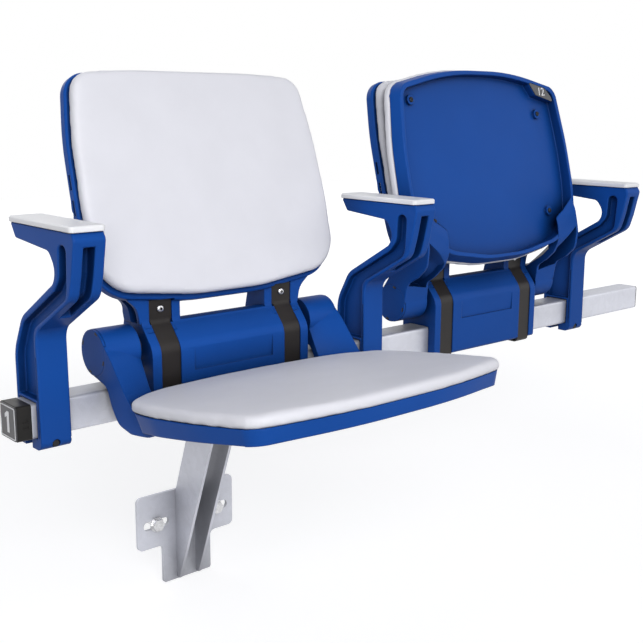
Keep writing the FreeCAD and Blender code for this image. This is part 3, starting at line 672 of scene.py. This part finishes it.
def lettering(name, text, height, motion, body, slot, depth):
    """Raised plain figures, centred on the origin of their plane and then put in place."""
    curve = bpy.data.curves.new(name, "FONT")
    curve.body = text
    curve.size = height
    curve.align_x = "CENTER"
    curve.align_y = "CENTER"
    curve.extrude = depth / 2
    boldness = 0.012
    curve.offset = height * boldness
    shape = bpy.data.objects.new(name + " outline", curve)
    bpy.context.scene.collection.objects.link(shape)
    bpy.context.view_layer.update()
    data = bpy.data.meshes.new_from_object(shape)
    bpy.data.objects.remove(shape)
    mesh = bmesh.new()
    mesh.from_mesh(data)
    bmesh.ops.remove_doubles(mesh, verts=mesh.verts, dist=WELD)
    bmesh.ops.transform(mesh, matrix=motion, verts=mesh.verts)
    return add_piece(name, mesh, body, slot, smooth=False)


# Operators
class SEAT_OT_finishes(bpy.types.Operator):
    """Give every carried-over solid its finish"""
    bl_idname = "seat.finishes"
    bl_label = "Finishes"

    def execute(self, context):
        slots = {part["node"]: part["material_slot"] for part in frame["record"]["subparts"]}
        for node, thing in frame["nodes"].items():
            material = finish_for(slots[node])
            for place in thing.material_slots:
                place.material = material
        return {"FINISHED"}


class SEAT_OT_cushions(bpy.types.Operator):
    """Make the padded cushions of both seats"""
    bl_idname = "seat.cushions"
    bl_label = "Cushions"

    def execute(self, context):
        back = swollen("left_back_cushion", "left_back_pad", "frame", Y_AXIS)
        pan = swollen("left_pan_cushion", "left_pan_pad", "left_pan", Z_AXIS)
        step = Matrix.Translation((SEAT_STEP, 0, 0))
        other = moved_copy(back, "right_back_pad", "frame", "white_pad", "right_back_cushion", step)
        folded = to_folded_right()
        press(pan, other, folded)
        other = moved_copy(pan, "right_pan_pad", "right_pan", "white_pad", "right_pan_cushion", folded)
        return {"FINISHED"}


class SEAT_OT_armrests(bpy.types.Operator):
    """Make the armrests and their pads with rounded edges"""
    bl_idname = "seat.armrests"
    bl_label = "Armrests"

    def execute(self, context):
        radius = sizes().arm_edge
        beam_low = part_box("beam_tube")[0].z

        def below_beam(point):
            return point.z < beam_low

        for side in ("left", "middle", "right"):
            node = "armrest_body_" + side
            mesh = softened(node, radius, below_beam)
            shade_by_area(add_piece("arm_" + side, mesh, "frame", "blue_plastic", node))
            node = "armrest_pad_" + side
            mesh = softened(node, radius / 2, below_beam)
            shade_by_area(add_piece("arm_top_" + side, mesh, "frame", "white_plastic", node))
        return {"FINISHED"}


class SEAT_OT_shells(bpy.types.Operator):
    """Make the back and pan mouldings with rounded rims and a soft-cornered tray"""
    bl_idname = "seat.shells"
    bl_label = "Shells"

    def execute(self, context):
        radius = sizes().shell_edge
        crisp_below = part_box("left_back_cushion")[0].z + 0.04
        place = pan_place()
        inverse = place.inverted()
        for side in ("left", "right"):
            node = side + "_back_moulding"
            mesh = softened(node, radius, lambda point: point.z < crisp_below)
            shade_by_area(add_piece(side + "_back_shell", mesh, "frame", "blue_plastic", node))
        mesh = softened("left_pan_moulding", radius, lambda point: (inverse @ point).y > ARMS_END)
        tray_dish(mesh, place, sizes().tray_radius)
        pan = add_piece("left_pan_shell", mesh, "left_pan", "blue_plastic", "left_pan_moulding")
        folded = to_folded_right()
        other = moved_copy(pan, "right_pan_shell", "right_pan", "blue_plastic", "right_pan_moulding", folded)
        for piece in (pan, other):
            shade_by_area(piece)
        return {"FINISHED"}


class SEAT_OT_flanks(bpy.types.Operator):
    """Make the sloped flanks of the housing beside the clamp straps"""
    bl_idname = "seat.flanks"
    bl_label = "Strap flanks"

    def execute(self, context):
        slope = Vector((0, 0.029, 0.034)).normalized()
        outward = Vector((0, -slope.z, slope.y))
        on_slope = Vector((0, -0.1315, 0.3642))
        sunk = 0.00115
        length, thickness = 0.012, 0.002
        inside_strap, outside_strap = (0.0925, 0.0979), (0.1317, 0.1425)
        spot = on_slope - outward * sunk
        turn = Matrix((Vector((1, 0, 0)), slope, outward)).transposed().to_4x4()
        for side, centre in (("left", 0), ("right", SEAT_STEP)):
            mesh = bmesh.new()
            for near, far in (inside_strap, outside_strap):
                for sign in (-1, 1):
                    made = bmesh.ops.create_cube(mesh, size=1)["verts"]
                    bmesh.ops.scale(mesh, verts=made, vec=(far - near, length, thickness))
                    place = Matrix.Translation(spot + Vector((centre + sign * (near + far) / 2, 0, 0))) @ turn
                    bmesh.ops.transform(mesh, matrix=place, verts=made)
            add_piece(side + "_strap_flanks", mesh, "frame", "blue_plastic", smooth=False)
        return {"FINISHED"}


class SEAT_OT_fixings(bpy.types.Operator):
    """Make the screws with sockets, and dark sheets on the hub caps as painted shade for their catch slots"""
    bl_idname = "seat.fixings"
    bl_label = "Fixings"

    def execute(self, context):
        facing = Matrix.Rotation(math.radians(90), 4, "X")
        for side in ("left", "right"):
            mesh = bmesh.new()
            for points in islands(side + "_strap_screws"):
                dome_screw(mesh, seat_of(points, facing, STRAP_SCREW[1]), *STRAP_SCREW)
            add_piece(side + "_strap_heads", mesh, "frame", "bright_screw", side + "_strap_screws", smooth=False)
        mesh = bmesh.new()
        below = pan_place() @ Matrix.Rotation(math.radians(180), 4, "X")
        for points in islands("left_pan_screws"):
            dome_screw(mesh, seat_of(points, below, PAN_SCREW[1]), *PAN_SCREW)
        heads = add_piece("left_pan_heads", mesh, "left_pan", "bright_screw", "left_pan_screws", smooth=False)
        heads.data.materials[0] = finish_for("dark_screw")
        folded = to_folded_right()
        other = moved_copy(heads, "right_pan_heads", "right_pan", "bright_screw", "right_pan_screws", folded)
        other.data.materials[0] = finish_for("dark_screw")
        for node in ("armrest_clamp_bolts", "armrest_clamp_nuts"):
            for place in frame["nodes"][node].material_slots:
                place.material = finish_for("dark_screw")
        # Thin dark sheets on the caps are painted shade, standing in for the shade inside the catch slots.
        slots = add_piece("left_hub_slot_shade", self.hub_slot_shade(), "left_pan", "black_plastic", smooth=False)
        moved_copy(slots, "right_hub_slot_shade", "right_pan", "black_plastic", None, folded)
        return {"FINISHED"}

    def hub_slot_shade(self):
        """Four thin dark sheets round each of the left seat's hub caps, painted shade that stands in for the shade
        inside their catch slots.
        """
        from_axle = Vector((0, 0.0305, 0))
        slot_size = (0.0003, 0.0034, 0.0075)
        mesh = bmesh.new()
        for points in islands("left_hub_caps"):
            middle = sum(points, Vector()) / len(points)
            outward = 1 if middle.x > 0 else -1
            face = max(abs(point.x) for point in points) * outward
            for degrees in (20, 110, 200, 290):
                turn = Matrix.Rotation(math.radians(degrees), 4, "X")
                place = Matrix.Translation(Vector((face, middle.y, middle.z)) + turn @ from_axle) @ turn
                made = bmesh.ops.create_cube(mesh, size=1)["verts"]
                bmesh.ops.scale(mesh, verts=made, vec=slot_size)
                bmesh.ops.transform(mesh, matrix=place, verts=made)
        return mesh


class SEAT_OT_figures(bpy.types.Operator):
    """Put plain seat numbers on the pans' plates"""
    bl_idname = "seat.figures"
    bl_label = "Seat numbers"

    def execute(self, context):
        values = sizes()
        place = pan_place()
        spots = [place.inverted() @ point for point in islands("left_number_plate")[0]]
        face = min(spot.z for spot in spots) - values.figure_depth / 2
        motion = place @ Matrix.Translation((*middle_of(spots), face)) @ Matrix.Rotation(math.radians(180), 4, "X")
        turn = {"left": Matrix.Identity(4), "right": to_folded_right()}
        for side, text in (("left", "11"), ("right", "12")):
            lettering(side + "_seat_number", text, values.figure_height, turn[side] @ motion, side + "_pan",
                      "white_plastic", values.figure_depth)
        return {"FINISHED"}


class SEAT_OT_stage(bpy.types.Operator):
    """Floor, soft studio light and the camera"""
    bl_idname = "seat.stage"
    bl_label = "Stage"

    def execute(self, context):
        context.scene.view_settings.view_transform = "Standard"
        self.world()
        self.floor()
        for lamp in LAMPS:
            self.lamp(*lamp)
        self.camera()
        return {"FINISHED"}

    def white_to_camera(self, tree, shaded, surface):
        """White where the camera or a mirror-like surface looks, and the shaded closure elsewhere."""
        path = tree.nodes.new("ShaderNodeLightPath")
        either = path.outputs["Is Camera Ray"]
        for ray in ("Is Glossy Ray", "Is Transmission Ray"):
            larger = tree.nodes.new("ShaderNodeMath")
            larger.operation = "MAXIMUM"
            tree.links.new(either, larger.inputs[0])
            tree.links.new(path.outputs[ray], larger.inputs[1])
            either = larger.outputs[0]
        white = tree.nodes.new("ShaderNodeBackground")
        white.inputs["Color"].default_value = (1, 1, 1, 1)
        white.inputs["Strength"].default_value = 1.0
        mix = tree.nodes.new("ShaderNodeMixShader")
        tree.links.new(either, mix.inputs["Fac"])
        tree.links.new(shaded, mix.inputs[1])
        tree.links.new(white.outputs[0], mix.inputs[2])
        tree.links.new(mix.outputs[0], surface)

    def world(self):
        """Soft light that is dimmer from below, seen as white."""
        world = bpy.data.worlds.new("studio")
        bpy.context.scene.world = world
        world.use_nodes = True
        tree = world.node_tree
        shaded = next(node for node in tree.nodes if node.type == "BACKGROUND")
        shaded.inputs["Color"].default_value = (0.84, 0.87, 0.95, 1)
        direction = tree.nodes.new("ShaderNodeTexCoord")
        height = tree.nodes.new("ShaderNodeSeparateXYZ")
        tree.links.new(direction.outputs["Generated"], height.inputs["Vector"])
        gloom = ranged(tree, height.outputs["Z"], (-0.6, 0.9), (0.10, 0.30))
        tree.links.new(gloom, shaded.inputs["Strength"])
        output = next(node for node in tree.nodes if node.type == "OUTPUT_WORLD")
        self.white_to_camera(tree, shaded.outputs[0], output.inputs["Surface"])

    def floor(self):
        """Pale floor just below the seats, which fades to white far away."""
        reach = 7
        gap = 0.002
        mesh = bmesh.new()
        bmesh.ops.create_grid(mesh, x_segments=1, y_segments=1, size=reach)
        bmesh.ops.translate(mesh, verts=mesh.verts, vec=(0.4, 0, cad_box[0].z - gap))
        data = bpy.data.meshes.new("floor")
        mesh.to_mesh(data)
        mesh.free()
        floor = bpy.data.objects.new("floor", data)
        bpy.context.scene.collection.objects.link(floor)
        made = Finish("pale floor")
        made.colour(made.noise(2, 3), (0.42, 0.42, 0.43), 0.01)
        made.rough(made.noise(5, 3), 0.85, 0.95)
        made.set(Emission_Color=(1, 1, 1, 1))
        away = made.node("ShaderNodeVectorMath", operation="LENGTH")
        made.link(made.place, away.inputs[0])
        glow = ranged(made.tree, away.outputs["Value"], (1.2, 4.5), (0.71, 1.0))
        made.link(glow, made.shader.inputs["Emission Strength"])
        data.materials.append(made.material)
        floor.visible_diffuse = False

    def lamp(self, name, place, width, power):
        """A square area lamp that faces the seats."""
        data = bpy.data.lights.new(name, "AREA")
        data.shape = "SQUARE"
        data.size = width
        data.energy = power
        lamp = bpy.data.objects.new(name, data)
        bpy.context.scene.collection.objects.link(lamp)
        lamp.location = place
        aim = Vector(LAMP_AIM) - Vector(place)
        lamp.rotation_mode = "QUATERNION"
        lamp.rotation_quaternion = aim.to_track_quat("-Z", "Y")

    def camera(self):
        """The camera at the photo's place and angle."""
        data = bpy.data.cameras.new("photo camera")
        data.lens = PHOTO_FOCAL
        data.sensor_width = SENSOR_WIDTH
        data.clip_start, data.clip_end = CAMERA_CLIP
        camera = bpy.data.objects.new("photo camera", data)
        bpy.context.scene.collection.objects.link(camera)
        yaw, pitch, roll = (math.radians(degrees) for degrees in CAMERA_TURN)
        ahead = Vector((math.sin(yaw) * math.cos(pitch), math.cos(yaw) * math.cos(pitch), -math.sin(pitch)))
        flat = Vector((math.cos(yaw), -math.sin(yaw), 0))
        rise = flat.cross(ahead)
        right = flat * math.cos(roll) + rise * math.sin(roll)
        up = rise * math.cos(roll) - flat * math.sin(roll)
        turn = Matrix((right, up, -ahead)).transposed()
        camera.matrix_world = Matrix.Translation(CAMERA_PLACE) @ turn.to_4x4()
        bpy.context.scene.camera = camera


STEPS = (SEAT_OT_stage, SEAT_OT_finishes, SEAT_OT_cushions, SEAT_OT_armrests, SEAT_OT_shells, SEAT_OT_flanks,
         SEAT_OT_fixings, SEAT_OT_figures)


class SEAT_PT_panel(bpy.types.Panel):
    """Panel that lists the seat's sizes, colours and steps"""
    bl_idname = "SEAT_PT_panel"
    bl_label = "Stadium Seat"
    bl_space_type = "VIEW_3D"
    bl_region_type = "UI"
    bl_category = "Seat"

    def draw(self, context):
        for group in (context.scene.seat_colours, context.scene.seat_sizes):
            box = self.layout.box()
            for name in group.__annotations__:
                box.prop(group, name)
        for step in STEPS:
            self.layout.operator(step.bl_idname)


CLASSES = (SeatColours, SeatSizes, *STEPS, SEAT_PT_panel)


def register():
    for entry in CLASSES:
        bpy.utils.register_class(entry)
    bpy.types.Scene.seat_colours = bpy.props.PointerProperty(type=SeatColours)
    bpy.types.Scene.seat_sizes = bpy.props.PointerProperty(type=SeatSizes)


def unregister():
    del bpy.types.Scene.seat_sizes
    del bpy.types.Scene.seat_colours
    for entry in reversed(CLASSES):
        bpy.utils.unregister_class(entry)


def main():
    register()
    bpy.ops.seat.stage()
    bpy.ops.seat.finishes()
    bpy.ops.seat.cushions()
    bpy.ops.seat.armrests()
    bpy.ops.seat.shells()
    bpy.ops.seat.flanks()
    bpy.ops.seat.fixings()
    bpy.ops.seat.figures()


if __name__ == "__main__":
    main()
